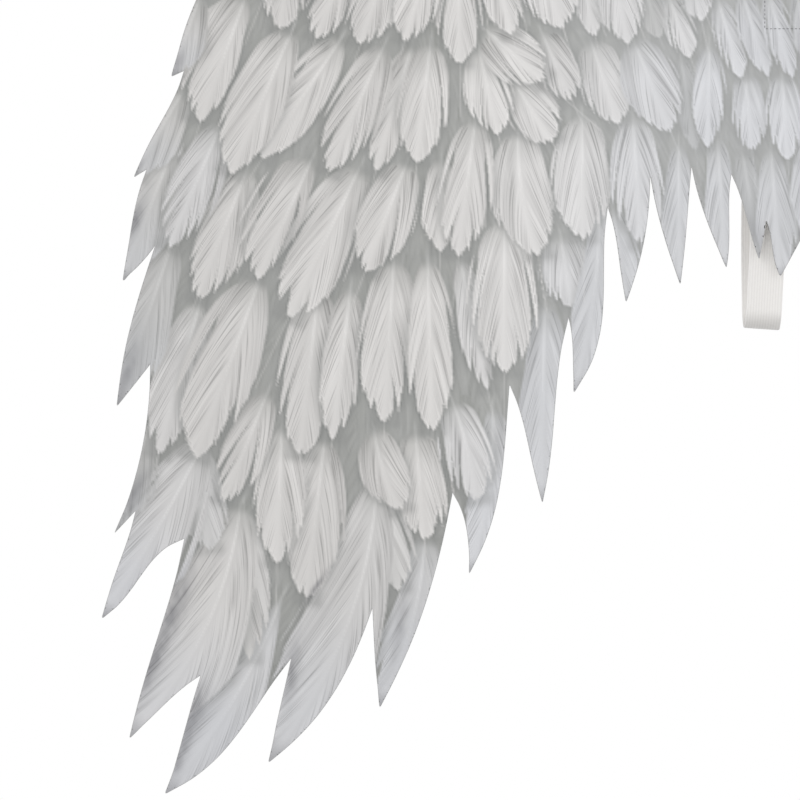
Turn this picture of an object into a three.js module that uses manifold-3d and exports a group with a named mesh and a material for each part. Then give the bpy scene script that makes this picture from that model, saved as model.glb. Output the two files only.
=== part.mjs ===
// A pair of costume wings: one sheet of printed felt whose lower and outer edges are cut into long
// feather tips, with two elastic shoulder straps sewn to its back. X runs across the wings, Y from
// the printed face to the wearer, Z up. The origin is on the back face, in the middle of the seam
// that holds the straps. All sizes are in millimetres.
import * as THREE from "three";
import { mergeVertices } from "three/addons/utils/BufferGeometryUtils.js";
import Module from "manifold-3d";

const wasm = await Module();
wasm.setup();

// The felt sheet.
const wingSpan = 924; // from tip to tip
const wingHeight = 698; // from the top of the arch to the lowest tip
const archRise = 166; // the top of the arch above the origin
const feltThickness = 1.5;
const tipRound = 1.8; // how far from its point a feather tip begins to round off
const tipShare = 0.45; // of the straight piece next to a point that its rounding takes at most
const tipSteps = 2; // straight pieces round a point
const sideSteps = 6; // straight pieces along each side of a tip
const archSteps = 14; // straight pieces along the arch of each wing
const weldDistance = 1e-4; // corners of a solid that are nearer than this are one

// How the hanging sheet bends. Its middle, where the straps are sewn, stays flat.
const flatMiddle = 110; // width of the flat stretch
const sweepBack = 16; // how far the outer ends lean back
const fluteDepth = 5; // how far the soft flutes stand out at the lower edge
const fluteAngle = 1; // radians that one flute takes as the sheet fans out below the wrist
const fluteReach = 520; // distance below the wrist at which the flutes have their full depth
const fluteOnset = 130; // distance out from the flat middle over which the flutes begin
const sheetCell = 24; // the size of the facets that follow the bend

// The elastic straps.
const strapWidth = 23;
const strapThickness = 1.4;
const strapGap = 20; // between the sewn ends of the two straps
const sewnLength = 25; // of each end that is sewn down
const endGap = 20; // between the upper and the lower sewn end of a strap
const loopDrop = 194; // from the foot of the lower ends to the bottom of the loop
const loopRadius = 13; // of the turn at the bottom of the loop
const loopStandOff = 4.5; // how far the front strand hangs behind the sewn end
const frontLean = 0.052; // how far the front strand runs outwards for each millimetre that it hangs
const rearOffset = 13; // how far out the rear strand hangs from the sewn ends
const loopTilt = 0.07; // how far the loop drops for each millimetre of its width, towards the middle
const tiltStart = 90; // how far below the foot the loop has its full tilt
const strandEase = 0.3; // share of a strand's fall over which each of its ends keeps its direction
const rearArrival = 0.45; // the same share where the rear strand hangs down into the turn
const strapSteps = 96; // straight pieces along a strap
const seatGap = 0.3; // between a strap and the felt that it is sewn to

// The feather tips of the left wing, from the top of its outer edge down and round to the middle.
// tip and notch are places in shares: of half the span out from the middle, then of the height down
// from the top. A tip's outer side comes from the notch before it and its inner side runs to its own
// notch. outer and inner say how full a side is near its start and its end, as shares of its length.
const featherTips = [
  { tip: [0.76, 0.13], notch: [0.747, 0.127], outer: [0.07, 0.06], inner: [0, 0] },
  { tip: [0.84, 0.219], notch: [0.829, 0.216], outer: [0.08, 0.07], inner: [0, 0] },
  { tip: [0.9, 0.329], notch: [0.885, 0.326], outer: [0.08, 0.07], inner: [0, 0] },
  { tip: [0.953, 0.423], notch: [0.938, 0.418], outer: [-0.06, 0.05], inner: [0, 0] },
  { tip: [0.97, 0.52], notch: [0.926, 0.489], outer: [0.06, 0.02], inner: [0.05, 0.05] },
  { tip: [0.979, 0.637], notch: [0.933, 0.6], outer: [0.03, 0.06], inner: [0, 0] },
  { tip: [0.982, 0.756], notch: [0.954, 0.737], outer: [-0.07, -0.07], inner: [0, 0] },
  { tip: [1, 0.836], notch: [0.885, 0.763], outer: [-0.03, 0.04], inner: [0.09, -0.17] },
  { tip: [0.961, 0.948], notch: [0.862, 0.891], outer: [-0.03, 0.03], inner: [0.01, -0.06] },
  { tip: [0.91, 1], notch: [0.734, 0.875], outer: [0.01, -0.01], inner: [0.16, 0.02] },
  { tip: [0.764, 0.97], notch: [0.619, 0.828], outer: [0, 0.02], inner: [0.13, 0.09] },
  { tip: [0.608, 0.918], notch: [0.506, 0.72], outer: [0.01, 0.03], inner: [0.07, 0.05] },
  { tip: [0.482, 0.793], notch: [0.426, 0.619], outer: [-0.13, -0.06], inner: [0.12, 0.04] },
  { tip: [0.38, 0.727], notch: [0.343, 0.557], outer: [-0.06, 0.02], inner: [0.04, -0.05] },
  { tip: [0.335, 0.625], notch: [0.288, 0.454], outer: [-0.06, 0.01], inner: [0.18, 0] },
  { tip: [0.262, 0.541], notch: [0.228, 0.425], outer: [-0.06, 0.02], inner: [0.07, 0.06] },
  { tip: [0.186, 0.525], notch: [0.17, 0.416], outer: [0.04, 0.03], inner: [0.02, 0] },
  { tip: [0.121, 0.51], notch: [0.114, 0.423], outer: [0.05, 0.03], inner: [0.05, -0.04] },
  { tip: [0.075, 0.502], notch: [0.065, 0.466], outer: [-0.05, 0.02], inner: [0.02, 0.02] },
  { tip: [0.045, 0.518], notch: [0, 0.464], outer: [-0.05, 0.1], inner: [0, 0] },
];

// The plain arch at the top of the left wing, from the middle outwards, in the same shares.
const archMiddle = [0, 0.121];
const archShoulder = [0.16, 0.093];
const archSlope = [0.35, 0.03];
const archWrist = [0.53, 0];
const archTurn = [0.68, 0.05];

// A place on the left wing, in the plane of the sheet, from its shares.
function wingPoint([out, down]) {
  return new THREE.Vector2((-out * wingSpan) / 2, archRise - down * wingHeight);
}

// The points of one side of a feather tip after its start, made full at its two thirds. The felt is
// on the left of the way.
function sidePoints(start, end, [fullStart, fullEnd]) {
  const way = end.clone().sub(start);
  const outwards = new THREE.Vector2(way.y, -way.x);
  const leaving = start.clone().lerp(end, 1 / 3).addScaledVector(outwards, fullStart);
  const arriving = start.clone().lerp(end, 2 / 3).addScaledVector(outwards, fullEnd);
  return new THREE.CubicBezierCurve(start, leaving, arriving, end).getPoints(sideSteps).slice(1);
}

// The place where the rounding of a tip meets the side that goes on to its next point.
function roundingEnd(tip, next) {
  const longest = tipShare * tip.distanceTo(next);
  return tip.clone().addScaledVector(next.clone().sub(tip).normalize(), Math.min(longest, tipRound));
}

// The outline of the left wing, from the middle of the arch outwards and down to the middle notch.
function leftOutline() {
  const arch = [archMiddle, archShoulder, archSlope, archWrist, archTurn].map(wingPoint);
  const outline = new THREE.SplineCurve(arch).getPoints(archSteps);
  for (const row of featherTips) {
    const tip = wingPoint(row.tip);
    const outer = sidePoints(outline[outline.length - 1], tip, row.outer).slice(0, -1);
    const inner = sidePoints(tip, wingPoint(row.notch), row.inner);
    const from = roundingEnd(tip, outer[outer.length - 1]);
    const to = roundingEnd(tip, inner[0]);
    const rounding = new THREE.QuadraticBezierCurve(from, tip, to).getPoints(tipSteps);
    outline.push(...outer, ...rounding, ...inner);
  }
  return outline;
}

// A closed geometry as a solid for the boolean library.
function solidOf(geometry) {
  const bare = new THREE.BufferGeometry();
  bare.setAttribute("position", geometry.getAttribute("position"));
  bare.setIndex(geometry.index);
  const merged = mergeVertices(bare, weldDistance);
  const mesh = new wasm.Mesh({
    numProp: 3,
    vertProperties: new Float32Array(merged.getAttribute("position").array),
    triVerts: new Uint32Array(merged.index.array),
  });
  return new wasm.Manifold(mesh);
}

// A solid from the boolean library as a geometry that can be drawn.
function geometryOf(solid) {
  const mesh = solid.getMesh();
  const geometry = new THREE.BufferGeometry();
  const places = new Float32Array(mesh.vertProperties);
  geometry.setAttribute("position", new THREE.BufferAttribute(places, 3));
  geometry.setIndex(new THREE.BufferAttribute(new Uint32Array(mesh.triVerts), 1));
  geometry.computeVertexNormals();
  return geometry;
}

// How far back the sheet lies at a place, from its flat middle. The flutes fan out from the wrist.
function bendAt(x, z) {
  const wrist = wingPoint(archWrist);
  const beyondMiddle = Math.max(0, Math.abs(x) - flatMiddle / 2);
  const swept = (beyondMiddle / (wingSpan / 2 - flatMiddle / 2)) ** 2;
  const sideways = Math.abs(x) + wrist.x;
  const below = wrist.y - z;
  const wave = Math.sin((2 * Math.PI * Math.atan2(sideways, below)) / fluteAngle);
  const grown = Math.min(1, Math.hypot(sideways, below) / fluteReach);
  return sweepBack * swept + fluteDepth * wave * grown * Math.min(1, beyondMiddle / fluteOnset);
}

// The felt: a bent slab cut along the outline of both wings.
function feltGeometry() {
  const slabWidth = wingSpan + 2 * sheetCell;
  const slabHeight = wingHeight + 2 * sheetCell;
  const across = 2 * Math.round(slabWidth / sheetCell / 2);
  const upwards = Math.round(slabHeight / sheetCell);
  const slab = new THREE.BoxGeometry(slabWidth, feltThickness, slabHeight, across, 1, upwards);
  slab.translate(0, -feltThickness / 2, archRise - wingHeight / 2);
  const places = slab.getAttribute("position");
  for (let i = 0; i < places.count; i += 1) {
    places.setY(i, places.getY(i) + bendAt(places.getX(i), places.getZ(i)));
  }

  const left = leftOutline();
  const right = left.slice(1, -1).reverse().map((p) => new THREE.Vector2(-p.x, p.y));
  const depth = 2 * (sweepBack + fluteDepth + feltThickness);
  const outline = new THREE.Shape([...left, ...right]);
  const cutter = new THREE.ExtrudeGeometry(outline, { depth, bevelEnabled: false });
  cutter.translate(0, 0, -depth / 2);
  cutter.rotateX(Math.PI / 2);
  return geometryOf(solidOf(slab).intersect(solidOf(cutter)));
}

// Depths and heights that a strap's line passes through.
const sewnDepth = seatGap + strapThickness / 2;
const frontDepth = sewnDepth + loopStandOff;
const rearDepth = frontDepth + 2 * loopRadius;
const upperHead = sewnLength + endGap / 2;
const upperFoot = endGap / 2;
const lowerHead = -endGap / 2;
const lowerFoot = -upperHead;
const turnHeight = lowerFoot - loopDrop + loopRadius;

// The line of a strap from the side, from its upper end down, round the turn and up to its lower
// end: the first coordinate is the depth behind the felt, the second the height.
function strapLine() {
  const leavingDepth = sewnDepth + strandEase * (rearDepth - sewnDepth);
  const rearFall = upperFoot - turnHeight;
  const frontEase = strandEase * (lowerFoot - turnHeight);
  const line = new THREE.Path();
  line.moveTo(sewnDepth, upperHead);
  line.lineTo(sewnDepth, upperFoot);
  line.bezierCurveTo(
    leavingDepth, upperFoot - strandEase * rearFall,
    rearDepth, turnHeight + rearArrival * rearFall,
    rearDepth, turnHeight,
  );
  line.absarc(rearDepth - loopRadius, turnHeight, loopRadius, 0, -Math.PI, true);
  line.bezierCurveTo(
    frontDepth, turnHeight + frontEase,
    sewnDepth, lowerFoot - frontEase,
    sewnDepth, lowerFoot,
  );
  line.lineTo(sewnDepth, lowerHead);
  return line;
}

// The left strap: the band seen from the side, drawn out to its width, then leant and tilted.
function strapGeometry() {
  const points = strapLine().getSpacedPoints(strapSteps);
  const edgeAt = (i, side) => {
    const before = points[Math.max(0, i - 1)];
    const after = points[Math.min(points.length - 1, i + 1)];
    const way = after.clone().sub(before).normalize();
    const across = new THREE.Vector2(-way.y, way.x);
    return points[i].clone().addScaledVector(across, (side * strapThickness) / 2);
  };
  const outside = points.map((_, i) => edgeAt(i, 1));
  const inside = points.map((_, i) => edgeAt(i, -1)).reverse();
  const profile = new THREE.Shape([...outside, ...inside]);
  const band = new THREE.ExtrudeGeometry(profile, { depth: strapWidth, bevelEnabled: false });
  band.translate(0, 0, -strapWidth / 2);

  const places = band.getAttribute("position");
  for (let i = 0; i < places.count; i += 1) {
    const depth = places.getX(i);
    const height = places.getY(i);
    const inwards = places.getZ(i);
    const hung = Math.max(0, lowerFoot - height);
    const rearShare = THREE.MathUtils.clamp((depth - frontDepth) / (rearDepth - frontDepth), 0, 1);
    const out = THREE.MathUtils.lerp(frontLean * hung, rearOffset, rearShare);
    const tilt = loopTilt * Math.min(1, hung / tiltStart);
    places.setXYZ(i, inwards - (strapGap + strapWidth) / 2 - out, depth, height - tilt * inwards);
  }
  return band;
}

function part(name, geometry, material) {
  const mesh = new THREE.Mesh(geometry, material);
  mesh.name = name;
  return mesh;
}

const printedFelt = new THREE.MeshStandardMaterial({ color: 0xd2d3d3, roughness: 0.95, metalness: 0 });
const elastic = new THREE.MeshStandardMaterial({ color: 0xe8e6e2, roughness: 0.8, metalness: 0 });

const wings = new THREE.Group();
wings.add(part("wing_felt", feltGeometry(), printedFelt));
wings.add(part("shoulder_strap_left", strapGeometry(), elastic));
const rightStrap = part("shoulder_strap_right", strapGeometry(), elastic);
rightStrap.scale.x = -1;
wings.add(rightStrap);

export default wings;
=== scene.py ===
import math
from collections import namedtuple

import bmesh
import bpy
import numpy as np
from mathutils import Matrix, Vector
from mathutils.geometry import delaunay_2d_cdt


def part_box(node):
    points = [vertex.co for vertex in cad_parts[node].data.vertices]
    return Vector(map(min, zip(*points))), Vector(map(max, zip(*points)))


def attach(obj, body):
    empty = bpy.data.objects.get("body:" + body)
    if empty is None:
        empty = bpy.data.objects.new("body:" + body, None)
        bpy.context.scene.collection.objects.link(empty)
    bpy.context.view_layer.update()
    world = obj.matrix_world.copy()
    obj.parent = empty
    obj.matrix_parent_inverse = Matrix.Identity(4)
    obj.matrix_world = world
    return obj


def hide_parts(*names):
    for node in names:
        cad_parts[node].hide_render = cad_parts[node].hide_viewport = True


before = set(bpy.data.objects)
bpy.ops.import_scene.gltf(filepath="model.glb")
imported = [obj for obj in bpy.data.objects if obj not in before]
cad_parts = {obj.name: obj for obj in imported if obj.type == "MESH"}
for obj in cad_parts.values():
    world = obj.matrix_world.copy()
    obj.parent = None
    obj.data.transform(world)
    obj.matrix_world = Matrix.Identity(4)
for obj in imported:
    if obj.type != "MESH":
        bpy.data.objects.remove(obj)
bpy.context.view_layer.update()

# The camera stands square in front of the printed side, level with the lower part of the left wing,
# far enough away that the sheet shows hardly any perspective.
MM = 0.001
view_middle = Vector((-268, 0, -276)) * MM
view_width = 520 * MM
camera_distance = 3.5

camera_data = bpy.data.cameras.new("front_camera")
camera_data.sensor_width = 36
camera_data.lens = camera_data.sensor_width * camera_distance / view_width
camera = bpy.data.objects.new("front_camera", camera_data)
camera.location = view_middle - Vector((0, camera_distance, 0))
camera.rotation_euler = (math.radians(90), 0, 0)
bpy.context.scene.collection.objects.link(camera)
bpy.context.scene.camera = camera

# The felt sheet. Both wings are die-cut from one piece of white non-woven felt, 1.5 mm thick, that is
# printed on the front only. It hangs in soft flutes below the wrists and leans back at its ends.
flat_middle = 110
sweep_back = 16
flute_depth = 5
flute_reach = 520
flute_onset = 130
felt_thickness = 1.5
felt_lattice = 9
felt_crease = math.radians(40)
cut_step = 2.5
least_edge = 0.02
least_turn = 0.002
places_at_once = 2000
tip_turn = math.radians(22)
tip_span = 3
tip_bend = math.radians(95)
tip_reach = 2
least_reach = 0.25
full_reach_out = 200
flank_reach = 12
wing_low, wing_high = (Vector(corner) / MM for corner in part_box("wing_felt"))
half_span = (wing_high.x - wing_low.x) / 2
wing_top = wing_high.z
wing_foot = wing_low.z
sheet_half_span = 462
sheet_top = 166
wrist_share = 0.53
wrist_out = wrist_share * sheet_half_span


def bend_at(x, z):
    """How far back the sheet lies at places on it, in millimetres."""
    beyond = np.maximum(0, np.abs(x) - flat_middle / 2)
    swept = (beyond / (sheet_half_span - flat_middle / 2)) ** 2
    sideways = np.abs(x) - wrist_out
    below = sheet_top - z
    wave = np.sin(2 * np.pi * np.arctan2(sideways, below))
    grown = np.minimum(1, np.hypot(sideways, below) / flute_reach)
    return sweep_back * swept + flute_depth * wave * grown * np.minimum(1, beyond / flute_onset)


def cut_line(node):
    """The cut edge of the felt as one closed line of (x, z) places, in millimetres."""
    shape = bmesh.new()
    shape.from_mesh(node.data)
    bmesh.ops.remove_doubles(shape, verts=shape.verts, dist=0.00001)
    shape.normal_update()
    shape.verts.index_update()
    shape.verts.ensure_lookup_table()
    rims = {}
    for edge in shape.edges:
        facing = [face.normal.y < -0.5 for face in edge.link_faces]
        if len(facing) == 2 and facing[0] != facing[1]:
            for here, there in (edge.verts, reversed(edge.verts)):
                rims.setdefault(here.index, []).append(there.index)
    places = {i: (shape.verts[i].co.x / MM, shape.verts[i].co.z / MM) for i in rims}
    shape.free()
    start = max(rims, key=lambda i: (places[i][1], -abs(places[i][0])))
    line, before, here = [], None, start
    while not line or here != start:
        line.append(places[here])
        onwards = [i for i in rims[here] if i != before]
        before, here = here, onwards[0]
    return np.array(line)


def turns_along(line):
    """How far a closed line turns at each of its points, in radians."""
    arriving = line - np.roll(line, 1, axis=0)
    leaving = np.roll(line, -1, axis=0) - line
    headings = np.arctan2(leaving[:, 1], leaving[:, 0]) - np.arctan2(arriving[:, 1], arriving[:, 0])
    return (headings + np.pi) % (2 * np.pi) - np.pi


def tips_drawn_out(line):
    """The cut line with each rounded feather tip moved out to where the photograph's tips end."""
    turn = turns_along(line)
    turn = turn * np.sign(turn.sum())
    gone = np.cumsum(np.hypot(*(line - np.roll(line, 1, axis=0)).T))
    moved = line.copy()
    for i in range(len(line)):
        if turn[np.abs(gone - gone[i]) < tip_span].sum() > tip_bend:
            flanks = [np.interp(gone[i] + way * flank_reach, gone, line[:, axis]) for axis in (0, 1)
                      for way in (-1, 1)]
            heading = line[i] - ((flanks[0] + flanks[1]) / 2, (flanks[2] + flanks[3]) / 2)
            eased = min(1, max(least_reach, abs(line[i][0]) / full_reach_out))
            moved[i] += heading / np.hypot(*heading) * tip_reach * eased
    return moved


def smooth_cut(line):
    """The cut line with soft curves between its sharp points, stepped evenly."""
    line = line[np.hypot(*(line - np.roll(line, 1, axis=0)).T) > least_edge]
    line = line[np.abs(turns_along(line)) > least_turn]
    line = tips_drawn_out(line)
    sharp = np.abs(turns_along(line)) > tip_turn
    made = []
    for i in range(len(line)):
        a, b = line[i], line[(i + 1) % len(line)]
        before = a - (b - a) if sharp[i] else line[i - 1]
        after = b + (b - a) if sharp[(i + 1) % len(line)] else line[(i + 2) % len(line)]
        reach = np.hypot(*(b - a))
        lead = (b - before) / (np.hypot(*(a - before)) + reach) * reach
        trail = (after - a) / (np.hypot(*(after - b)) + reach) * reach
        for t in np.arange(0, 1, 1 / max(1, round(reach / cut_step))):
            made.append(
                a * (1 + 2 * t) * (1 - t) ** 2 + b * t * t * (3 - 2 * t)
                + lead * t * (1 - t) ** 2 - trail * t * t * (1 - t)
            )
    return np.array(made)


def inside_cut(line, xs, zs):
    """Whether each place of a lattice, rows of zs by columns of xs, lies on the felt."""
    ends = np.roll(line, -1, axis=0)
    held = np.zeros((len(zs), len(xs)), bool)
    for row, z in enumerate(zs):
        crossing = (line[:, 1] > z) != (ends[:, 1] > z)
        a, b = line[crossing], ends[crossing]
        meets = np.sort(a[:, 0] + (z - a[:, 1]) / (b[:, 1] - a[:, 1]) * (b[:, 0] - a[:, 0]))
        held[row] = np.searchsorted(meets, xs) % 2 == 1
    return held


def nearest_on_cut(line, places):
    """The point of the cut line nearest to each place, and how far away it is."""
    ends = np.roll(line, -1, axis=0)
    way = ends - line
    length = np.maximum((way ** 2).sum(axis=1), 1e-12)
    best = np.zeros_like(places)
    for part in range(0, len(places), places_at_once):
        here = places[part:part + places_at_once]
        offset = here[:, None] - line[None]
        share = np.clip((offset * way).sum(axis=2) / length, 0, 1)
        points = line[None] + share[..., None] * way
        pick = ((here[:, None] - points) ** 2).sum(axis=2).argmin(axis=1)
        best[part:part + places_at_once] = points[np.arange(len(here)), pick]
    return best, np.hypot(*(places - best).T)


def new_piece(name, corners, faces):
    """A mesh object from corners in millimetres."""
    mesh = bpy.data.meshes.new(name)
    mesh.from_pydata((np.asarray(corners) * MM).tolist(), [], faces)
    piece = bpy.data.objects.new(name, mesh)
    bpy.context.scene.collection.objects.link(piece)
    return piece


def only(piece):
    """Makes a piece the one that is selected and active."""
    bpy.ops.object.select_all(action="DESELECT")
    piece.select_set(True)
    bpy.context.view_layer.objects.active = piece


cut = smooth_cut(cut_line(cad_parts["wing_felt"]))
columns = np.arange(-half_span, half_span, felt_lattice)
rows = np.arange(wing_foot, wing_top, felt_lattice)
lattice = np.stack(np.meshgrid(columns, rows), axis=-1)[inside_cut(cut, columns, rows)]
lattice = lattice[nearest_on_cut(cut, lattice)[1] > felt_lattice / 3]
edge_count = len(cut)
around = [(i, (i + 1) % edge_count) for i in range(edge_count)]
flat_places = [Vector(place) for place in np.vstack([cut, lattice])]
flat_places, _, triangles, *_ = delaunay_2d_cdt(flat_places, around, [], 1, 1e-6)
flat_places = np.array([tuple(place) for place in flat_places])
back_depth = bend_at(flat_places[:, 0], flat_places[:, 1])
count = len(flat_places)
back = np.column_stack([flat_places[:, 0], back_depth, flat_places[:, 1]])
front = back - (0, felt_thickness, 0)
clockwise = ((np.roll(cut, -1, axis=0) - cut)[:, 0] * (np.roll(cut, -1, axis=0) + cut)[:, 1]).sum() > 0
felt_faces = [tuple(t) for t in triangles] + [tuple(i + count for i in reversed(t)) for t in triangles]
for a, b in around:
    felt_faces.append((a, b, b + count, a + count) if clockwise else (b, a, a + count, b + count))
felt = new_piece("felt_sheet", np.vstack([front, back]), felt_faces)
only(felt)
bpy.ops.object.mode_set(mode="EDIT")
bpy.ops.mesh.select_all(action="SELECT")
bpy.ops.mesh.normals_make_consistent(inside=False)
bpy.ops.object.mode_set(mode="OBJECT")
bpy.ops.object.shade_smooth_by_angle(angle=felt_crease)


def new_finish(name, colour, roughness):
    """A material, its node tree and its shader, with a colour and roughness of its own."""
    finish = bpy.data.materials.new(name)
    finish.use_nodes = True
    shader = finish.node_tree.nodes["Principled BSDF"]
    shader.inputs["Base Color"].default_value = (*colour, 1)
    shader.inputs["Roughness"].default_value = roughness
    shader.inputs["Specular IOR Level"].default_value = 0.15
    return finish, finish.node_tree, shader


def add_node(tree, kind, settings=None, **inputs):
    """A shader node with its settings and inputs; an input may be a value or another node's socket."""
    node = tree.nodes.new(kind)
    for key, value in (settings or {}).items():
        setattr(node, key, value)
    for key, value in inputs.items():
        socket = node.inputs[int(key[1:])] if key[0] == "i" and key[1:].isdigit() else node.inputs[key]
        if isinstance(value, bpy.types.NodeSocket):
            tree.links.new(value, socket)
        else:
            socket.default_value = value
    return node


def fibre_relief(tree, shader, coarse, fine, depth):
    """Matted fibres as bump, from two sizes of noise on the piece's own place."""
    place = add_node(tree, "ShaderNodeTexCoord").outputs["Object"]
    tufts = add_node(tree, "ShaderNodeTexNoise", Vector=place, Scale=coarse, Detail=3.0)
    hairs = add_node(tree, "ShaderNodeTexNoise", Vector=place, Scale=fine, Detail=4.0, Distortion=1.2)
    height = add_node(
        tree, "ShaderNodeMath", {"operation": "ADD"}, i0=tufts.outputs["Fac"], i1=hairs.outputs["Fac"]
    )
    bump = add_node(
        tree, "ShaderNodeBump", Strength=0.5, Distance=depth * MM, Height=height.outputs[0]
    )
    tree.links.new(bump.outputs["Normal"], shader.inputs["Normal"])
    return tufts, hairs


def mottled(tree, shader, source, dark, light):
    """A colour that wanders between two, by a noise."""
    ramp = add_node(tree, "ShaderNodeValToRGB", Fac=source)
    ramp.color_ramp.elements[0].position = 0.3
    ramp.color_ramp.elements[0].color = (*dark, 1)
    ramp.color_ramp.elements[1].position = 0.7
    ramp.color_ramp.elements[1].color = (*light, 1)
    tree.links.new(ramp.outputs["Color"], shader.inputs["Base Color"])


felt_back_finish, tree, shader = new_finish("plain_felt", (0.7, 0.7, 0.69), 0.95)
tufts, hairs = fibre_relief(tree, shader, coarse=130, fine=1100, depth=0.3)
half_hairs = add_node(tree, "ShaderNodeMath", {"operation": "MULTIPLY"}, i0=hairs.outputs["Fac"], i1=0.5)
matted = add_node(
    tree, "ShaderNodeMath", {"operation": "MULTIPLY_ADD"},
    i0=tufts.outputs["Fac"], i1=0.5, i2=half_hairs.outputs[0],
)
mottled(tree, shader, matted.outputs[0], (0.52, 0.52, 0.515), (0.82, 0.82, 0.81))
# The cut edge of the white felt is coloured dark grey: painted shade for the edge in shadow, which draws a
# thin dark line round the outline.
felt_edge_shade_finish, tree, shader = new_finish("cut_felt_edge_painted_shade", (0.42, 0.42, 0.42), 0.95)
tufts, hairs = fibre_relief(tree, shader, coarse=700, fine=2400, depth=0.2)
mottled(tree, shader, tufts.outputs["Fac"], (0.33, 0.33, 0.34), (0.5, 0.5, 0.49))
# The printed front of the felt shows only in a thin rim past the print skin. That rim is coloured an even mid
# grey: painted shade for the cut edge in shadow.
felt_rim_shade_finish, tree, shader = new_finish("inked_felt_rim_painted_shade", (0.5, 0.5, 0.5), 0.95)
tufts, hairs = fibre_relief(tree, shader, coarse=700, fine=2400, depth=0.2)
mottled(tree, shader, tufts.outputs["Fac"], (0.46, 0.46, 0.465), (0.58, 0.58, 0.575))
for finish in (felt_back_finish, felt_edge_shade_finish, felt_rim_shade_finish):
    felt.data.materials.append(finish)
for face in felt.data.polygons:
    face.material_index = 0 if face.normal.y > 0.5 else 2 if face.normal.y < -0.5 else 1
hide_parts("wing_felt")
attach(felt, "root")

# The printed feathers. They lie on the front of the felt in ink alone: overlapping rows of pale
# feathers with grey gaps, worked out row by row from the tables and laid on as a thin skin in tiles.
Feather = namedtuple("Feather", "root tip width bow left tone strength point")
print_pitch = 1.1
paint_pitch = print_pitch / 2
print_lift = 0.15
edge_margin = 0.35
tile_size = 235
gap_ink = np.array([0.366, 0.371, 0.354])
shadow_ink = np.array([0.285, 0.29, 0.285])
warm_ink = np.array([0.765, 0.745, 0.722])
cool_ink = np.array([0.695, 0.702, 0.728])
tip_ink = np.array([0.2, 0.2, 0.215])
haze_ink = np.array([0.8, 0.81, 0.835])
haze_near_middle = 0.17
quill_light = 0.07
fullness = 1.12
barb_slant = 2.0
barb_closing = 1.8
lock_share = 0.3
tuft_long = 7.5
shadow_reach = 4.0
shadow_depth = 0.45
hair_long = 1.5
cut_roughness = 0.55
cut_hairs = 0.15
slit_depth = 0.2
slit_wide = 2.2
barb_band = 4.2
barb_dark = 0.15
broad_band = 14.0
broad_dark = 0.14
edge_wide = 2.6
edge_dark = 0.08
tip_dark = 0.55
quill_half_width = 0.95
row_spacing = 0.86
crispness = 1.1


def plume(root, tip, width, bow=0.0, left=0.5, tone=0.2, strength=1.0, point=0):
    """A feather of the tables, a little wider than its place in the row, so that it overlaps."""
    return Feather(root, tip, width * fullness, bow, left, tone, strength, point)


# Root and tip are (out from the middle, down from the origin) in millimetres on the left wing. bow
# is how far the shaft bulges towards the middle, as a share of its length, left the share of the
# width on its outer side, tone 0 for warm and 1 for cool ink, strength how plainly it is printed,
# and point 1 where the feather ends in a cut tip, or 2 where it also starts narrow.
coverts = [
    plume((339, -20), (346, 35), 26), plume((299, -17), (323, 41), 27), plume((273, -17), (294, 45), 29),
    plume((247, -17), (265, 43), 25), plume((230, -13), (229, 58), 26), plume((209, -17), (195, 39), 23),
    plume((180, -17), (162, 35), 30), plume((152, -13), (141, 40), 17), plume((131, -13), (120, 45), 25),
    plume((109, 8), (99, 41), 15, strength=0.6), plume((94, 12), (79, 54), 17), plume((79, -2), (72, 30), 16),
    plume((62, 14), (46, 67), 16, tone=0.5), plume((46, 10), (29, 66), 16, tone=0.6),
    plume((29, 10), (13, 67), 17, tone=0.6), plume((10, 10), (2, 60), 13, tone=0.6, strength=0.8),
    plume((368, 12), (398, 95), 31, left=0.72), plume((338, 34), (378, 129), 33, left=0.6),
    plume((306, 40), (358, 119), 28, left=0.55), plume((278, 44), (315, 128), 29),
    plume((260, 45), (284, 128), 24), plume((248, 43), (257, 122), 29), plume((217, 46), (204, 104), 26),
    plume((214, 34), (174, 69), 29), plume((196, 66), (169, 109), 29), plume((177, 35), (156, 82), 24),
    plume((144, 42), (126, 97), 29), plume((117, 40), (92, 102), 30, tone=0.5),
    plume((86, 50), (76, 114), 14, strength=0.6, tone=0.7), plume((67, 44), (68, 112), 18, tone=0.7),
    plume((44, 62), (39, 115), 21, tone=0.7), plume((20, 62), (16, 120), 20, tone=0.7),
]
middle_rows = [
    plume((384, 95), (419, 177), 28, tone=0.5), plume((367, 124), (401, 211), 30, left=0.45),
    plume((325, 118), (361, 198), 31, left=0.72), plume((294, 124), (341, 223), 40, left=0.52),
    plume((263, 120), (291, 193), 31), plume((241, 118), (242, 180), 22), plume((219, 93), (230, 183), 31),
    plume((191, 99), (178, 183), 34, bow=-0.05), plume((150, 90), (149, 172), 34),
    plume((117, 90), (111, 176), 30, tone=0.5),
    plume((398, 211), (426, 312), 30, tone=0.35), plume((359, 196), (401, 314), 40, left=0.62),
    plume((321, 202), (333, 313), 34, left=0.5), plume((300, 202), (312, 302), 24),
    plume((272, 184), (278, 291), 35), plume((250, 184), (247, 297), 27),
    plume((229, 184), (211, 270), 20, tone=0.4), plume((200, 158), (200, 259), 40),
    plume((164, 168), (156, 216), 30, tone=0.5),
    plume((354, 270), (383, 343), 26), plume((345, 292), (348, 383), 29), plume((317, 300), (329, 407), 31),
    plume((285, 294), (267, 348), 26, bow=-0.05), plume((258, 296), (252, 367), 34, left=0.45),
    plume((234, 276), (218, 342), 30, bow=0.03, tone=0.5),
]
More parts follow.
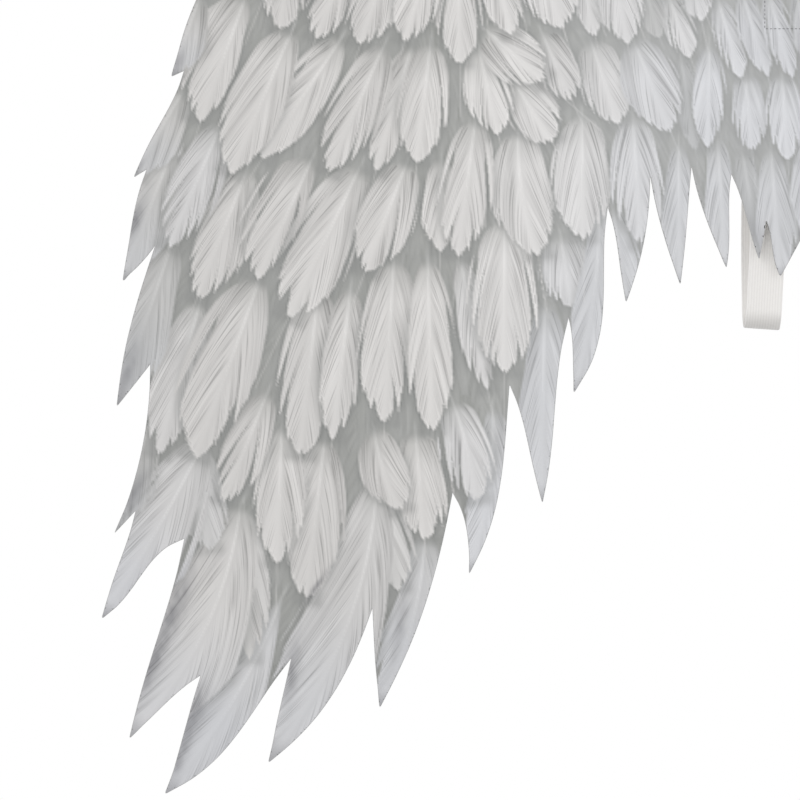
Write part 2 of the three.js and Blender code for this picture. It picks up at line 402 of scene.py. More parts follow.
cut_feathers = [
    plume((398, 12), (416, 63), 26, strength=0.85, tone=0.3, point=1),
    plume((408, 72), (441, 129), 30, strength=0.8, tone=0.3, point=1),
    plume((413, 104), (449, 197), 32, strength=0.8, tone=0.35, point=1),
    plume((416, 172), (452, 278), 34, strength=0.75, tone=0.45, point=1),
    plume((430, 286), (454, 361), 28, strength=0.65, tone=0.4, point=1),
    plume((396, 302), (462, 417), 50, tone=0.45, bow=0.02, point=1),
    plume((372, 344), (444, 495), 56, bow=0.085, left=0.52, tone=0.25, point=1),
    plume((345, 404), (421, 532), 54, bow=0.05, left=0.55, tone=0.7, strength=0.95, point=2),
    plume((283, 330), (353, 511), 52, bow=0.08, left=0.55, tone=0.35, strength=0.95, point=1),
    plume((402, 306), (392, 374), 28, tone=0.5, strength=0.85),
    plume((370, 346), (366, 446), 25, tone=0.3, strength=0.9),
    plume((284, 332), (269, 400), 29, tone=0.35, strength=0.85),
    plume((252, 362), (281, 474), 36, bow=0.06, left=0.42, tone=0.7, strength=0.85, point=1),
    plume((208, 280), (223, 387), 30, bow=0.05, left=0.35, tone=0.8, strength=0.9, point=1),
    plume((174, 212), (176, 341), 34, left=0.42, tone=0.8, strength=0.85, point=1),
    plume((139, 146), (155, 270), 26, bow=0.04, left=0.4, tone=0.7, strength=0.85, point=1),
    plume((130, 150), (121, 211), 24, tone=0.9, strength=0.85, point=1),
    plume((87, 108), (86, 200), 21, tone=0.9, strength=0.85, point=1),
    plume((62, 104), (56, 190), 21, tone=0.9, strength=0.85, point=1),
    plume((46, 112), (34, 184), 20, tone=0.9, strength=0.6, point=1),
    plume((27, 112), (21, 195), 25, tone=0.8, strength=0.85, point=1),
    plume((6, 100), (5, 168), 15, tone=0.6, strength=0.9, point=1),
]

# The rows above those follow the arch: how far down their tips lie, their length and their width.
arch_rows = [(8, 64, 27), (-24, 58, 25), (-54, 52, 23), (-82, 46, 21), (-107, 40, 19), (-130, 35, 17),
             (-151, 30, 15), (-168, 26, 13)]
# Dark smudges beside the cut feathers: place, half length, half width, lean outwards and depth.
smudges = [
    ((415, 411), 26, 6.5, 0.42, 0.62), ((430, 449), 26, 6, 0.45, 0.62), ((403, 481), 20, 6.5, 0.35, 0.62),
    ((412, 510), 16, 4.5, 0.35, 0.5), ((441, 337), 15, 5, 0.5, 0.55), ((339, 455), 20, 5, 0.2, 0.5),
    ((268, 425), 22, 3.5, 0.2, 0.35), ((446, 258), 20, 4, 0.3, 0.55), ((322, 397), 12, 2, 0.7, 0.6),
    ((413, 55), 8, 4, 0.3, 0.55), ((441, 160), 15, 4, 0.38, 0.65), ((438, 124), 6, 2, 0.6, 0.4),
    ((37, 168), 13, 5, -0.33, 0.45),
]

outs = np.arange(0, half_span + 4, paint_pitch)
downs = np.arange(-wing_top - 4, -wing_foot + 4, paint_pitch)
ink = np.tile(gap_ink, (len(downs), len(outs), 1))
barb_place = np.zeros((len(downs), len(outs), 2))
shaft_here = np.zeros((len(downs), len(outs)))
streak_here = np.zeros((len(downs), len(outs)))


def wandering(places, seed):
    """A smooth line that wanders between 0 and 1, at any places along it."""
    levels = np.random.default_rng(seed).random(1024)
    cell = np.floor(places).astype(int)
    part = places - cell
    part = part * part * (3 - 2 * part)
    return levels[cell % 1024] * (1 - part) + levels[(cell + 1) % 1024] * part


def patches(x, y, seed):
    """A smooth field that wanders between 0 and 1 over the sheet."""
    levels = np.random.default_rng(seed).random((64, 64))
    i, j = np.floor(x).astype(int), np.floor(y).astype(int)
    p, q = x - i, y - j
    p, q = p * p * (3 - 2 * p), q * q * (3 - 2 * q)
    i, j, k, l = i % 64, j % 64, (i + 1) % 64, (j + 1) % 64
    here = levels[i, j] * (1 - p) + levels[k, j] * p
    beyond = levels[i, l] * (1 - p) + levels[k, l] * p
    return here * (1 - q) + beyond * q


def soft_step(low, high, value):
    share = np.clip((value - low) / (high - low), 0, 1)
    return share * share * (3 - 2 * share)


def vane_width(share, width, point):
    """How wide a vane is along its feather: it fans from the root, then narrows to a tongue or point."""
    share = np.clip(share, 0, 1.06 if point else 1)
    if point:
        fanned = np.minimum(1, 1.3 * share ** (0.5 * point))
        return width * fanned * np.clip((1.06 - share) / 0.42, 0, 1) ** 0.75
    return 2 * width * share ** 0.6 * (1 - share ** 1.8) ** 0.8


def locks_along(places, seed):
    """How much each lock of barbs stands out, and how far along its lock each place lies."""
    cell = np.floor(places).astype(int)
    return np.random.default_rng(seed).random(1024)[cell % 1024], places - cell


def paint(feather, seed):
    """Lays one feather and its soft shadow over what is already printed."""
    chance = np.random.default_rng(seed)
    root, tip = np.array(feather.root, float), np.array(feather.tip, float)
    length = np.hypot(*(tip - root))
    way = (tip - root) / length
    reach = feather.width * 0.75 + 12
    i0, i1 = np.searchsorted(outs, [min(root[0], tip[0]) - reach, max(root[0], tip[0]) + reach])
    j0, j1 = np.searchsorted(downs, [min(root[1], tip[1]) - reach, max(root[1], tip[1]) + reach])
    if i1 - i0 < 3 or j1 - j0 < 3:
        return
    window = (slice(j0, j1), slice(i0, i1))
    out, down = np.meshgrid(outs[i0:i1] - root[0], downs[j0:j1] - root[1])
    along = out * way[0] + down * way[1]
    share = along / length
    aside = -out * way[1] + down * way[0]
    aside = aside - feather.bow * length * 4 * np.clip(share, 0, 1) * (1 - np.clip(share, 0, 1))
    inner = aside > 0
    off = np.abs(aside)
    slant = barb_slant + barb_closing * np.clip(share, 0, 1)
    born = along - off * slant * (1 + 0.35 * off / feather.width)
    tag = np.where(inner, 311.0, 0.0) + seed % 97

    # Barbs hold together in locks: each reaches further and further out up to its own tip, where the
    # next lock starts short behind a narrow slit. Tufts are the same on a smaller scale.
    lock_long = lock_share * length * (0.8 + 0.6 * chance.random())
    lock_deep = 0.5 + 0.45 * chance.random()
    swaying = 0.5 * wandering(born / lock_long * 1.4 + tag, seed + 6)
    lock, lock_part = locks_along(born / lock_long + swaying + tag, seed + 2)
    fluttering = 0.4 * wandering(born / tuft_long + tag, seed + 7)
    tuft, tuft_part = locks_along(born / tuft_long + fluttering, seed + 8)
    rough = cut_roughness if feather.point else 1.0
    hairs = wandering(born / hair_long + tag, seed + 5) - 0.5
    hairs = hairs * (cut_hairs if feather.point else 1.0)
    emerging = lock * (1 - lock_part) ** 1.2
    short = emerging * soft_step(0.1, 0.35, share)
    frayed = soft_step(0.15, 0.75, wandering(along / 24 + tag, seed + 9))
    tuft_short = tuft * (1 - tuft_part) * (0.3 + frayed)
    pulled = -rough * feather.width * (0.12 * short + 0.07 * tuft_short + 0.04 * hairs)
    cut_share = (along - pulled) / length
    side = np.where(inner, 1 - feather.left, feather.left)
    fingers = 1.14 - rough * (lock_deep * short + 0.12 * tuft_short + 0.08 * hairs)
    vane = vane_width(cut_share, feather.width, feather.point) * side * fingers
    inside = vane - off
    cover = np.clip(inside / 0.8 + 0.5, 0, 1) * (cut_share > 0)
    rising = soft_step(0, 10, along)
    cover = cover * rising * min(1, feather.strength + 0.15)

    outline = vane_width(np.minimum(share, 0.92), feather.width, feather.point) * side
    near = np.hypot(np.maximum(0, off - outline), np.maximum(0, along - length))
    shade = shadow_depth * feather.strength * np.exp(-((near / shadow_reach) ** 2))
    shade = shade * soft_step(0.1, 0.5, share)
    under = ink[window] * (1 - shade[..., None]) + shadow_ink * shade[..., None]

    cooling = 0.5 * (feather.point > 0) * soft_step(0.3, 0.85, share)
    cool = np.minimum(1, feather.tone + 0.4 * (1 - soft_step(40, 260, root[0])) + cooling)[..., None]
    body = warm_ink * (1 - cool) + cool_ink * cool
    body = body * (0.98 + 0.06 * chance.random()) * (1 - 0.05 * soft_step(190, 330, root[0]))
    body = body * (1 + 0.08 * cooling)[..., None]
    full = (0.5 + 0.5 * soft_step(0, 30, along)) * feather.strength
    colour = gap_ink + (body - gap_ink) * full[..., None]
    shafted = feather.strength > 0.5
    vane_only = soft_step(0.3, 0.16 * feather.width, off) if shafted else np.ones_like(off)
    outwards = soft_step(0.25, 0.9, off / np.maximum(vane, 1))
    slit = lock * np.exp(-((lock_part * lock_long / slit_wide) ** 2)) * outwards + 0.5 * emerging * outwards

    # Where the barbs close up finer than the print can hold, their lines fade.
    clear = np.clip(1.6 - 0.2 * slant * (1 + 0.7 * off / feather.width), 0.2, 1)
    lines = soft_step(0.5, 0.9, wandering(born / barb_band + tag, seed + 3))
    brush = 1 - barb_dark * clear * vane_only * lines
    brush = brush * (1 - broad_dark * vane_only * (wandering(born / broad_band + tag, seed + 4) - 0.45))
    rimmed = edge_dark * np.exp(-((inside / edge_wide) ** 2))
    brush = brush * (1 - rimmed * (1 - soft_step(0.5, 0.9, share)))
    slit_here = 0.0 if feather.point else slit_depth
    brush = brush * (1 - 0.04 * np.exp(-(((aside - 1.8) / 1.7) ** 2))) * (1 - slit_here * slit)
    colour = colour * brush[..., None]
    if feather.point:
        tipped = tip_dark * soft_step(0.9, 1.02, share + 0.03 * hairs)
        colour = colour * (1 - tipped[..., None]) + tip_ink * tipped[..., None]
    ink[window] = under * (1 - cover[..., None]) + colour * cover[..., None]
    fading = soft_step(-0.12, -0.02, share) * (1 - soft_step(0.2, 0.6, share))
    quill = quill_light * np.exp(-((off / quill_half_width) ** 2)) * fading * shafted
    ink[window] += quill[..., None]

    mine = cover > 0.5
    shifted = born + 17.0 * (seed % 89) + np.where(inner, 700, 0)
    barb_place[window][mine] = np.stack([shifted, aside], axis=-1)[mine]
    shaft_shown = soft_step(0.0, 0.1, share) * (1 - soft_step(0.45, 0.85, share)) * (off < 3.5)
    shaft_here[window] = np.where(mine, shaft_shown * shafted * feather.strength, shaft_here[window])
    streaked = rising * vane_only * feather.strength
    streak_here[window] = np.where(mine, streaked, streak_here[window] * (1 - cover))


plumage = coverts + middle_rows + cut_feathers
chance = np.random.default_rng(7)
for tip_down, length, width in arch_rows:
    for out in np.arange(4, half_span - 20, width * row_spacing):
        near_middle = 0.6 + 0.4 * min(1, out / 150)
        size = near_middle * (0.9 + 0.2 * chance.random())
        lean = math.radians(np.clip(0.2 * (out - 240), -20, 32))
        foot = np.array([out + 4 * chance.random(), tip_down + 9 * (chance.random() - 0.5)])
        if tip_down > 0 and out < 60:
            foot[1] = min(foot[1], 4)
        root = foot - length * size * np.array([math.sin(lean), math.cos(lean)])
        plumage.append(plume(tuple(root), tuple(foot), width * size, tone=0.35 * chance.random()))
under_feathers = []
for down in np.arange(-160, 540, 34):
    for out in np.arange(6, half_span, 23):
        lean = math.radians(np.clip(0.2 * (out - 240), -14, 24))
        foot = np.array([out, down]) + 10 * (chance.random(2) - 0.5)
        root = foot - 58 * np.array([math.sin(lean), math.cos(lean)])
        under_feathers.append(plume(tuple(root), tuple(foot), 24, tone=0.6, strength=0.3))
for number, feather in enumerate(under_feathers):
    paint(feather, 5000 + 7 * number)
for number, feather in sorted(enumerate(plumage), key=lambda pair: -pair[1].root[1]):
    paint(feather, 100 + 7 * number)

far, low = np.meshgrid(outs, downs)
for (out, down), half_long, half_wide, lean, depth in smudges:
    along = ((far - out) * lean + (low - down)) / math.hypot(1, lean)
    aside = ((far - out) - (low - down) * lean) / math.hypot(1, lean)
    wobble = 0.75 + 0.5 * patches(far / 3, low / 6, int(out))
    dark = depth * np.exp(-((along / half_long) ** 2) - (aside / half_wide) ** 2) * wobble
    dark = np.clip(dark, 0, 0.8)[..., None]
    ink[:] = ink * (1 - dark) + tip_ink * 1.1 * dark
ink *= (0.97 + 0.03 * patches(far / 38, low / 38, 3) - 0.04 * soft_step(190, 330, far))[..., None]
ink += haze_near_middle * (1 - soft_step(90, 250, far))[..., None] * (haze_ink - ink)


def softened(field, reach):
    """A painted field averaged with its neighbours, that many steps away, both ways."""
    for axis in (0, 1):
        field = (np.roll(field, reach, axis) + 2 * field + np.roll(field, -reach, axis)) / 4
    return field


ink = softened(ink, 1)
ink = np.clip(ink + crispness * (ink - softened(ink, 2)), 0.1, 0.9)

# The skin that carries the ink: one corner for every second painted place, the outer ones drawn in
# to the cut edge of the felt.
node_outs, node_downs = outs[::2], downs[::2]
held = inside_cut(cut, -node_outs[::-1], -node_downs[::-1])[::-1, ::-1]
held[:, 0] |= inside_cut(cut, np.array([-0.05]), -node_downs[::-1])[::-1, 0]
cells = held[:-1, :-1] | held[1:, :-1] | held[:-1, 1:] | held[1:, 1:]
used = np.zeros_like(held)
for dj in (0, 1):
    for di in (0, 1):
        used[dj:len(node_downs) - 1 + dj, di:len(node_outs) - 1 + di] |= cells
walk = np.vstack([cut + (np.roll(cut, -1, axis=0) - cut) * t for t in np.arange(0, 1, 0.1)])
walk = -walk[walk[:, 0] < 0]
cut_through = np.zeros_like(cells)
walk_cells = ((walk - (0, node_downs[0])) / print_pitch).astype(int)
cut_through[walk_cells[:, 1], walk_cells[:, 0]] = True
cut_through &= cells
core = held.copy()
for shift, axis in ((1, 0), (-1, 0), (1, 1), (-1, 1)):
    core &= np.roll(held, shift, axis)
for dj in (0, 1):
    for di in (0, 1):
        core[dj:len(node_downs) - 1 + dj, di:len(node_outs) - 1 + di] &= ~cut_through
near_edge = used & ~core
node_x, node_z = np.meshgrid(-node_outs, -node_downs)
edge_places = np.column_stack([node_x[near_edge], node_z[near_edge]])
edge_held = held[near_edge]
at_cut, distance = nearest_on_cut(cut, edge_places)
inwards = np.where(edge_held[:, None], edge_places - at_cut, at_cut - edge_places)
inwards /= np.maximum(np.hypot(*inwards.T), 1e-6)[:, None]
drawn = np.where((edge_held & (distance > edge_margin))[:, None], edge_places, at_cut + inwards * edge_margin)
drawn[:, 0] = np.where(edge_places[:, 0] > -0.01, 0, drawn[:, 0])
skin_x, skin_z = node_x.copy(), node_z.copy()
skin_x[near_edge], skin_z[near_edge] = drawn.T
skin_ink = ink[::2, ::2]
skin_barb = barb_place[::2, ::2]


def on_felt(line, places):
    """Whether each of some scattered places lies on the felt."""
    ends = np.roll(line, -1, axis=0)
    found = np.zeros(len(places), bool)
    for part in range(0, len(places), places_at_once):
        here = places[part:part + places_at_once]
        x, z = here[:, 0, None], here[:, 1, None]
        crossing = (line[:, 1] > z) != (ends[:, 1] > z)
        rise = np.where(crossing, ends[:, 1] - line[:, 1], 1)
        meets = line[:, 0] + (z - line[:, 1]) / rise * (ends[:, 0] - line[:, 0])
        found[part:part + places_at_once] = (crossing & (x < meets)).sum(axis=1) % 2 == 1
    return found


# A cell that spans a narrow notch would bridge it, so a cell stays only where its four sides and
# both diagonals lie on the felt.
edge_cells = cells & ~(core[:-1, :-1] & core[1:, :-1] & core[:-1, 1:] & core[1:, 1:])
j, i = np.nonzero(edge_cells)
cell_corners = [np.column_stack([skin_x[j + dj, i + di], skin_z[j + dj, i + di]])
                for dj, di in ((0, 0), (0, 1), (1, 1), (1, 0))]
whole = np.ones(len(j), bool)
for a in range(4):
    for b in range(a + 1, 4):
        for t in (0.25, 0.5, 0.75):
            whole &= on_felt(cut, cell_corners[a] * (1 - t) + cell_corners[b] * t - (0.001, 0))
cells[j, i] = whole
jump = np.zeros(held.shape, bool)
for shift, axis in ((1, 0), (-1, 0), (1, 1), (-1, 1)):
    jump |= np.abs(np.roll(skin_barb, shift, axis) - skin_barb).max(axis=2) > 9
skin_shaft = np.where(jump, 0, shaft_here[::2, ::2])
skin_streak = np.where(jump, 0, streak_here[::2, ::2])


def print_tile(name, side, rows_here, columns_here):
    """One tile of the printed skin, on the left wing for side -1 and mirrored on the right for 1."""
    j, i = np.nonzero(cells[rows_here, columns_here])
    j, i = j + rows_here.start, i + columns_here.start
    width = held.shape[1]
    first = j * width + i
    corners = np.column_stack([first, first + 1, first + width + 1, first + width])
    if side < 0:
        corners = corners[:, ::-1]
    kept, quads = np.unique(corners, return_inverse=True)
    quads = quads.reshape(-1, 4)
    x, z = skin_x.ravel()[kept], skin_z.ravel()[kept]
    depth = bend_at(x, z) - felt_thickness - print_lift
    x = x if side < 0 else -x
    mesh = bpy.data.meshes.new(name)
    mesh.vertices.add(len(kept))
    mesh.vertices.foreach_set("co", (np.column_stack([x, depth, z]) * MM).ravel())
    mesh.loops.add(quads.size)
    mesh.loops.foreach_set("vertex_index", quads.ravel().astype(np.int32))
    mesh.polygons.add(len(quads))
    mesh.polygons.foreach_set("loop_start", np.arange(0, quads.size, 4, dtype=np.int32))
    mesh.update(calc_edges=True)
    colours = np.ones((len(kept), 4))
    colours[:, :3] = skin_ink.reshape(-1, 3)[kept]
    mesh.attributes.new("print", "FLOAT_COLOR", "POINT").data.foreach_set("color", colours.ravel())
    for label, field in (("shaft", skin_shaft), ("streak", skin_streak)):
        mesh.attributes.new(label, "FLOAT", "POINT").data.foreach_set("value", field.ravel()[kept])
    barbs = skin_barb.reshape(-1, 2)[kept][quads.ravel()]
    mesh.uv_layers.new(name="barbs").data.foreach_set("uv", barbs.ravel())
    mesh.polygons.foreach_set("use_smooth", np.ones(len(quads), bool))
    piece = bpy.data.objects.new(name, mesh)
    bpy.context.scene.collection.objects.link(piece)
    return piece


printed_finish, tree, shader = new_finish("printed_felt", (0.66, 0.66, 0.66), 0.93)
tufts, hairs = fibre_relief(tree, shader, coarse=420, fine=1700, depth=0.12)
inked = add_node(tree, "ShaderNodeAttribute", {"attribute_name": "print"}).outputs["Color"]
shaft_mask = add_node(tree, "ShaderNodeAttribute", {"attribute_name": "shaft"}).outputs["Fac"]
streak_mask = add_node(tree, "ShaderNodeAttribute", {"attribute_name": "streak"}).outputs["Fac"]
barbs = add_node(tree, "ShaderNodeUVMap", {"uv_map": "barbs"}).outputs["UV"]
apart = add_node(tree, "ShaderNodeSeparateXYZ", Vector=barbs)
stretched = add_node(tree, "ShaderNodeVectorMath", {"operation": "MULTIPLY"}, i0=barbs, i1=(1.0, 0.2, 0.0))


def math_node(operation, a, b=0.0):
    """Sets two values or sockets against each other in the material that is being made."""
    return add_node(tree, "ShaderNodeMath", {"operation": operation}, i0=a, i1=b).outputs[0]


def streaks(scale, low, high, depth):
    """Dark hairlines along the barbs: where a stretched noise is high, the ink is deeper."""
    noise = add_node(tree, "ShaderNodeTexNoise", Vector=stretched.outputs[0], Scale=scale, Detail=2.0)
    lines = add_node(
        tree, "ShaderNodeMapRange", {"interpolation_type": "SMOOTHSTEP"},
        i0=noise.outputs["Fac"], i1=low, i2=high, i3=0.0, i4=depth,
    )
    return math_node("MULTIPLY", lines.outputs[0], streak_mask)


past_fine = math_node("SUBTRACT", 1.0, streaks(0.36, 0.5, 0.7, 0.33))
past_broad = math_node("SUBTRACT", 1.0, streaks(0.13, 0.5, 0.78, 0.12))
kept_light = math_node("MULTIPLY", past_fine, past_broad)
off_shaft = math_node("ABSOLUTE", apart.outputs["Y"])
on_shaft = add_node(
    tree, "ShaderNodeMapRange", {"interpolation_type": "SMOOTHSTEP"},
    i0=off_shaft, i1=0.35, i2=1.1, i3=1.0, i4=0.0,
).outputs[0]
shaft_light = math_node("MULTIPLY", math_node("MULTIPLY", on_shaft, shaft_mask), 0.16)
fibre_light = math_node("ADD", math_node("MULTIPLY", hairs.outputs["Fac"], 0.08), 0.96)
light = math_node("MULTIPLY", math_node("ADD", kept_light, shaft_light), fibre_light)
lit = add_node(tree, "ShaderNodeVectorMath", {"operation": "SCALE"}, i0=inked, Scale=light).outputs[0]
tree.links.new(lit, shader.inputs["Base Color"])

cells_per_tile = round(tile_size / print_pitch)
for side, word in ((-1, "left"), (1, "right")):
    number = 0
    for top in range(0, cells.shape[0], cells_per_tile):
        for start in range(0, cells.shape[1], cells_per_tile):
            rows_here = slice(top, min(top + cells_per_tile, cells.shape[0]))
            columns_here = slice(start, min(start + cells_per_tile, cells.shape[1]))
            if cells[rows_here, columns_here].sum() < 50:
                continue
            number += 1
            tile = print_tile(f"feather_print_{word}_{number}", side, rows_here, columns_here)
            tile.data.materials.append(printed_finish)
            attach(tile, "root")

# The shoulder straps. Each is one length of 23 mm ribbed elastic, doubled back on itself into a loop
# for an arm, with its two ends sewn flat to the back of the felt.
strap_width = 23
strap_thickness = 1.4
strap_gap = 20
sewn_length = 25
end_gap = 20
loop_drop = 194
loop_radius = 13
loop_stand_off = 4.5
front_lean = 0.052
rear_offset = 14
rear_slant = 0.25
loop_tilt = 0.07
tilt_start = 90
strand_ease = 0.3
rear_arrival = 0.45
seat_gap = 0.3
rib_count = 13
rib_depth = 0.055
points_per_rib = 4
strap_steps = 230
strap_crease = math.radians(50)
# Heights between which the foot of the loop is coloured darker, and how dark: painted shade for the underside
# of the turn.
fold_foot = -227.5
fold_head = -216.5
fold_shade = 0.82

sewn_depth = seat_gap + strap_thickness / 2
front_depth = sewn_depth + loop_stand_off
rear_depth = front_depth + 2 * loop_radius
upper_foot = end_gap / 2
upper_head = upper_foot + sewn_length
lower_foot = -upper_head
turn_height = lower_foot - loop_drop + loop_radius


def curve_points(a, b, c, d, steps=60):
    """Points of a soft curve from a to d that leaves towards b and arrives from c."""
    t = np.linspace(0, 1, steps)[:, None]
    a, b, c, d = (np.array(p, float) for p in (a, b, c, d))
    return a * (1 - t) ** 3 + 3 * b * t * (1 - t) ** 2 + 3 * c * t * t * (1 - t) + d * t ** 3


def strap_line():
    """The strap from the side: depth and height from its upper end, round the loop, to its lower."""
    rear_fall = upper_foot - turn_height
    front_ease = strand_ease * (lower_foot - turn_height)
    leaving = sewn_depth + strand_ease * (rear_depth - sewn_depth)
    turn = np.linspace(0, -np.pi, 40)[1:-1]
    middle = (rear_depth - loop_radius, turn_height)
    turned = (middle[0] + loop_radius * np.cos(turn), middle[1] + loop_radius * np.sin(turn))
    line = np.vstack([
        [(sewn_depth, upper_head)],
        curve_points((sewn_depth, upper_foot), (leaving, upper_foot - strand_ease * rear_fall),
                     (rear_depth, turn_height + rear_arrival * rear_fall), (rear_depth, turn_height)),
        np.column_stack(turned),
        curve_points((front_depth, turn_height), (front_depth, turn_height + front_ease),
                     (sewn_depth, lower_foot - front_ease), (sewn_depth, lower_foot)),
        [(sewn_depth, -end_gap / 2)],
    ])
    gone = np.concatenate([[0], np.cumsum(np.hypot(*np.diff(line, axis=0).T))])
    even = np.linspace(0, gone[-1], strap_steps)
    return np.column_stack([np.interp(even, gone, line[:, 0]), np.interp(even, gone, line[:, 1])]), even


def ribbed_strap(name, side):
    """One strap with its ribs, swept along its line, on the left for side -1 and the right for 1."""
    line, gone = strap_line()
    way = np.gradient(line, axis=0)
    way /= np.hypot(*way.T)[:, None]
    normal = np.column_stack([-way[:, 1], way[:, 0]])
    across = np.linspace(-strap_width / 2, strap_width / 2, rib_count * points_per_rib + 1)
    ribs = rib_depth * np.abs(np.cos(np.pi * across / strap_width * rib_count)) - rib_depth
    edge = soft_step(0, 1.2, strap_width / 2 - np.abs(across))
    thick = strap_thickness / 2 * (0.55 + 0.45 * edge) + ribs
    ring_across = np.concatenate([across, across[::-1]])
    ring_lift = np.concatenate([thick, -thick[::-1]])
    points = line[:, None] + normal[:, None] * ring_lift[None, :, None]
    depth, height = points[..., 0], points[..., 1]
    hung = np.maximum(0, lower_foot - height)
    rear_share = np.clip((depth - front_depth) / (rear_depth - front_depth), 0, 1)
    drawn_in = 1 - rear_slant * hung / loop_drop
    out = front_lean * hung * (1 - rear_share) + rear_offset * rear_share * drawn_in
    tilt = loop_tilt * np.minimum(1, hung / tilt_start)
    x = ring_across[None] - (strap_gap + strap_width) / 2 - out
    corners = np.stack([x * -side, depth, height - tilt * ring_across[None]], axis=-1).reshape(-1, 3)
    ring = len(ring_across)
    faces = []
    for i in range(len(line) - 1):
        for k in range(ring):
            n = (k + 1) % ring
            faces.append((i * ring + k, i * ring + n, (i + 1) * ring + n, (i + 1) * ring + k))
    for i in (0, len(line) - 1):
        for k in range(len(across) - 1):
            a, b = i * ring + k, i * ring + k + 1
            c, d = i * ring + ring - 2 - k, i * ring + ring - 1 - k
            faces.append((a, b, c, d))
    strap = new_piece(name, corners, faces)
    only(strap)
    bpy.ops.object.mode_set(mode="EDIT")
    bpy.ops.mesh.select_all(action="SELECT")
    bpy.ops.mesh.normals_make_consistent(inside=False)
    bpy.ops.object.mode_set(mode="OBJECT")
    bpy.ops.object.shade_smooth_by_angle(angle=strap_crease)
    weave = np.empty((len(strap.data.loops), 2))
    corner_of = np.empty(len(strap.data.loops), np.int32)
    strap.data.loops.foreach_get("vertex_index", corner_of)
    weave[:, 0] = ring_across[corner_of % ring]
    weave[:, 1] = gone[corner_of // ring]
    strap.data.uv_layers.new(name="weave").data.foreach_set("uv", weave.ravel())
    return strap


elastic_finish, tree, shader = new_finish("ribbed_elastic", (0.78, 0.765, 0.74), 0.75)
shader.inputs["Sheen Weight"].default_value = 0.15
shader.inputs["Subsurface Weight"].default_value = 0.35
shader.inputs["Subsurface Radius"].default_value = (1, 1, 1)
shader.inputs["Subsurface Scale"].default_value = 3 * MM
weave = add_node(tree, "ShaderNodeUVMap", {"uv_map": "weave"}).outputs["UV"]
picks = add_node(
    tree, "ShaderNodeTexWave", {"wave_type": "BANDS", "bands_direction": "Y"},
    Vector=weave, Scale=0.42, Distortion=0.6, Detail=1.0,
)
ribs = add_node(
    tree, "ShaderNodeTexWave", {"wave_type": "BANDS", "bands_direction": "X"},
    Vector=weave, Scale=0.18, Distortion=0.3, Detail=1.0,
)
yarn = add_node(tree, "ShaderNodeTexNoise", Vector=weave, Scale=1.6, Detail=3.0)
half_picks = math_node("MULTIPLY", picks.outputs["Fac"], 0.5)
woven = math_node("ADD", half_picks, math_node("MULTIPLY", yarn.outputs["Fac"], 0.5))
bump = add_node(tree, "ShaderNodeBump", Strength=0.5, Distance=0.12 * MM, Height=woven)
tree.links.new(bump.outputs["Normal"], shader.inputs["Normal"])
tones = math_node("ADD", math_node("MULTIPLY", woven, 0.7), math_node("MULTIPLY", ribs.outputs["Fac"], 0.3))
mottled(tree, shader, tones, (0.79, 0.772, 0.75), (0.89, 0.873, 0.855))

# The elastic is coloured darker across the foot of the loop, where it turns back on itself: painted shade for
# the underside of the turn, which faces down.
woven_colour = shader.inputs["Base Color"].links[0].from_socket
place = add_node(tree, "ShaderNodeTexCoord").outputs["Object"]
height = add_node(tree, "ShaderNodeSeparateXYZ", Vector=place).outputs["Z"]
painted_turn_shade = add_node(
    tree, "ShaderNodeMapRange", {"interpolation_type": "SMOOTHSTEP"},
    i0=height, i1=fold_foot * MM, i2=fold_head * MM, i3=fold_shade, i4=1.0,
).outputs[0]
turn_shaded_colour = add_node(tree, "ShaderNodeVectorMath", {"operation": "SCALE"}, i0=woven_colour, Scale=painted_turn_shade)
tree.links.new(turn_shaded_colour.outputs[0], shader.inputs["Base Color"])

for word, side in (("left", -1), ("right", 1)):
    strap = ribbed_strap(f"elastic_strap_{word}", side)
    strap.data.materials.append(elastic_finish)
    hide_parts(f"shoulder_strap_{word}")
    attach(strap, "root")

# The stitching. One box of lockstitch in thread runs round both strap ends, through felt and
# elastic, so its stitches show on the printed side and again on the straps.
box_half_width = 31
box_half_height = 34.8
stitch_length = 1.7
stitch_pitch = 2.6
thread_radius = 0.2
thread_lift = 0.12


def stitch_row(start, end):
    """The middles of the stitches from one corner of the box to the next, and their heading."""
    start, end = np.array(start, float), np.array(end, float)
    reach = np.hypot(*(end - start))
    number = int(reach / stitch_pitch)
    for step in range(number):
        yield start + (end - start) * (step + 0.5) / number, (end - start) / reach


def on_strap(x, z):
    return strap_gap / 2 <= abs(x) <= strap_gap / 2 + strap_width and end_gap / 2 <= abs(z) <= upper_head


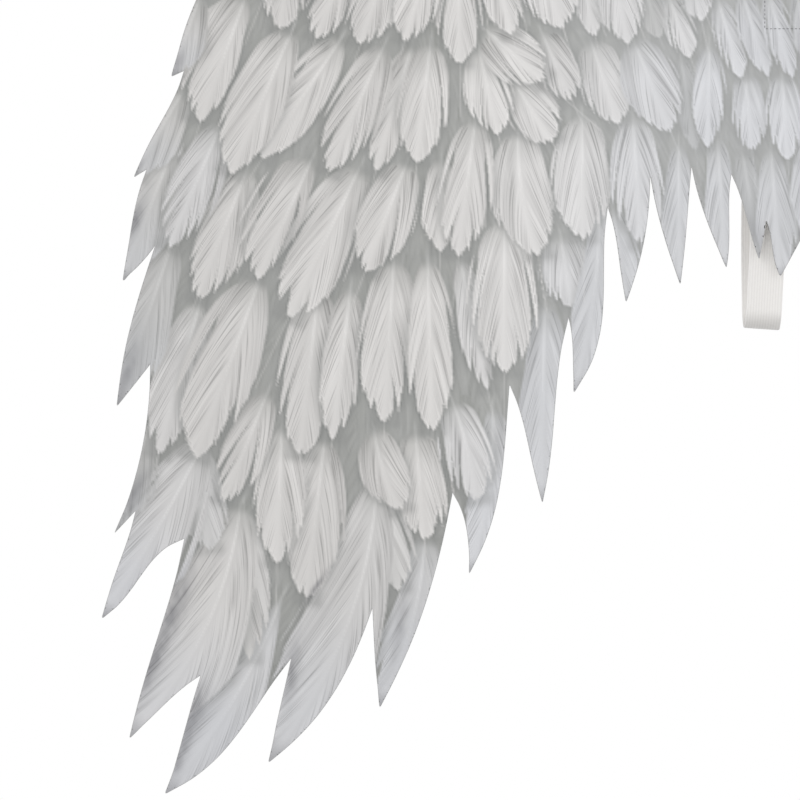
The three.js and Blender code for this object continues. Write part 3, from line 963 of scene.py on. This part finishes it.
box_corners = [(-box_half_width, box_half_height), (box_half_width, box_half_height),
               (box_half_width, -box_half_height), (-box_half_width, -box_half_height)]
thread_finish, tree, shader = new_finish("grey_thread", (0.22, 0.22, 0.23), 0.6)
place = add_node(tree, "ShaderNodeTexCoord").outputs["Object"]
twist = add_node(tree, "ShaderNodeTexNoise", Vector=place, Scale=3200.0, Detail=2.0)
mottled(tree, shader, twist.outputs["Fac"], (0.14, 0.14, 0.15), (0.3, 0.3, 0.31))
for label, behind in (("front", False), ("back", True)):
    bpy.ops.object.select_all(action="DESELECT")
    bpy.ops.mesh.primitive_uv_sphere_add(segments=8, ring_count=6, radius=1)
    pattern = bpy.context.object
    bpy.ops.object.shade_smooth()
    made = []
    for start, end in zip(box_corners, box_corners[1:] + box_corners[:1]):
        for (x, z), heading in stitch_row(start, end):
            stitch = pattern.copy()
            stitch.data = pattern.data.copy()
            surface = float(bend_at(np.array(x), np.array(z)))
            if not behind:
                surface -= felt_thickness + print_lift + thread_lift
            else:
                surface += thread_lift + (seat_gap + strap_thickness if on_strap(x, z) else 0)
            stitch.scale = (stitch_length / 2 * MM, thread_radius * MM, thread_radius * MM)
            stitch.rotation_euler = (0, -math.atan2(heading[1], heading[0]), 0)
            stitch.location = (x * MM, surface * MM, z * MM)
            bpy.context.scene.collection.objects.link(stitch)
            made.append(stitch)
    bpy.data.objects.remove(pattern)
    bpy.ops.object.select_all(action="DESELECT")
    for stitch in made:
        stitch.select_set(True)
    bpy.context.view_layer.objects.active = made[0]
    bpy.ops.object.join()
    stitching = bpy.context.object
    bpy.ops.object.transform_apply(location=True, rotation=True, scale=True)
    stitching.name = f"box_stitching_{label}"
    stitching.data.materials.append(thread_finish)
    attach(stitching, "root")

# The studio: a pale floor well below the wings, white all round, and large soft lights in front of
# and behind them.
bpy.ops.object.select_all(action="DESELECT")
bpy.ops.mesh.primitive_plane_add(size=3, location=(0, 0, -0.75))
floor = bpy.context.object
floor.name = "studio_floor"
floor_finish, tree, shader = new_finish("pale_floor", (0.8, 0.8, 0.8), 0.8)
floor.data.materials.append(floor_finish)

world = bpy.data.worlds.new("studio")
bpy.context.scene.world = world
world.use_nodes = True
sky = world.node_tree
surround = sky.nodes["Background"]
surround.inputs["Color"].default_value = (1, 1, 1, 1)
seen = sky.nodes.new("ShaderNodeLightPath").outputs["Is Camera Ray"]
level = add_node(sky, "ShaderNodeMapRange", i0=seen, i3=0.72, i4=1.0)
sky.links.new(level.outputs[0], surround.inputs["Strength"])
bpy.context.scene.view_settings.view_transform = "Standard"


def soft_light(name, place, aim, size, power):
    light = bpy.data.lights.new(name, "AREA")
    light.shape = "SQUARE"
    light.size = size
    light.energy = power
    lamp = bpy.data.objects.new(name, light)
    lamp.location = place
    lamp.rotation_euler = (Vector(aim) - Vector(place)).to_track_quat("-Z", "Y").to_euler()
    bpy.context.scene.collection.objects.link(lamp)


soft_light("key_light", (-1.6, -2.2, 1.2), (-0.15, 0, -0.2), 1.6, 22)
soft_light("fill_light", (1.9, -2.4, 0.5), (0, 0, -0.2), 1.6, 9)
soft_light("back_light", (0.8, 2.4, 1.4), (0, 0, -0.2), 1.6, 16)
